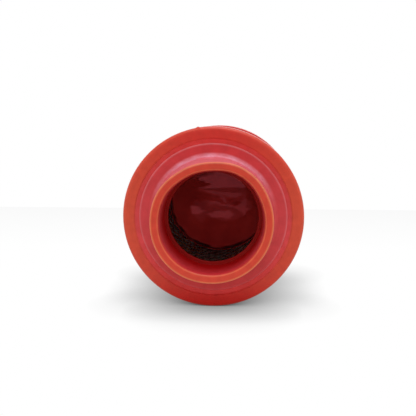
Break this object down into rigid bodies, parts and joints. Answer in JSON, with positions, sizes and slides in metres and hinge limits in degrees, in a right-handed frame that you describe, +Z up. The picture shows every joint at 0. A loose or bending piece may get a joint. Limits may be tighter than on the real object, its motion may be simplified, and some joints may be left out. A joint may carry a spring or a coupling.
{
  "type": "air filter element",
  "caption": "Compact round air filter element: pleated paper between two expanded-metal liners, held by moulded end caps, with a radial-seal neck that grips an outlet tube.",
  "frame": {"origin": "on the element's axis, at the front face of the open end's flange; this is the position of the mount outlet_bore", "axes": "the element lies on its side: -Y along its axis and out of the neck, +Y towards the closed end, +Z up"},
  "size_m": [0.12, 0.1338, 0.12],
  "materials": {
    "moulded_polyurethane": "satin, soft moulded elastomer",
    "filter_paper": "matte, resin-treated paper",
    "adhesive": "satin, set hot melt",
    "expanded_metal": "satin, thinly coated steel"
  },
  "bodies": {
    "root": {"open_end_cap": "moulded_polyurethane", "closed_end_cap": "moulded_polyurethane", "pleated_paper": "filter_paper", "paper_seam_adhesive": "adhesive", "pleat_bead_front": "adhesive", "pleat_bead_middle": "adhesive", "pleat_bead_rear": "adhesive", "inner_liner": "expanded_metal", "outer_liner": "expanded_metal"}
  },
  "joints": []
}
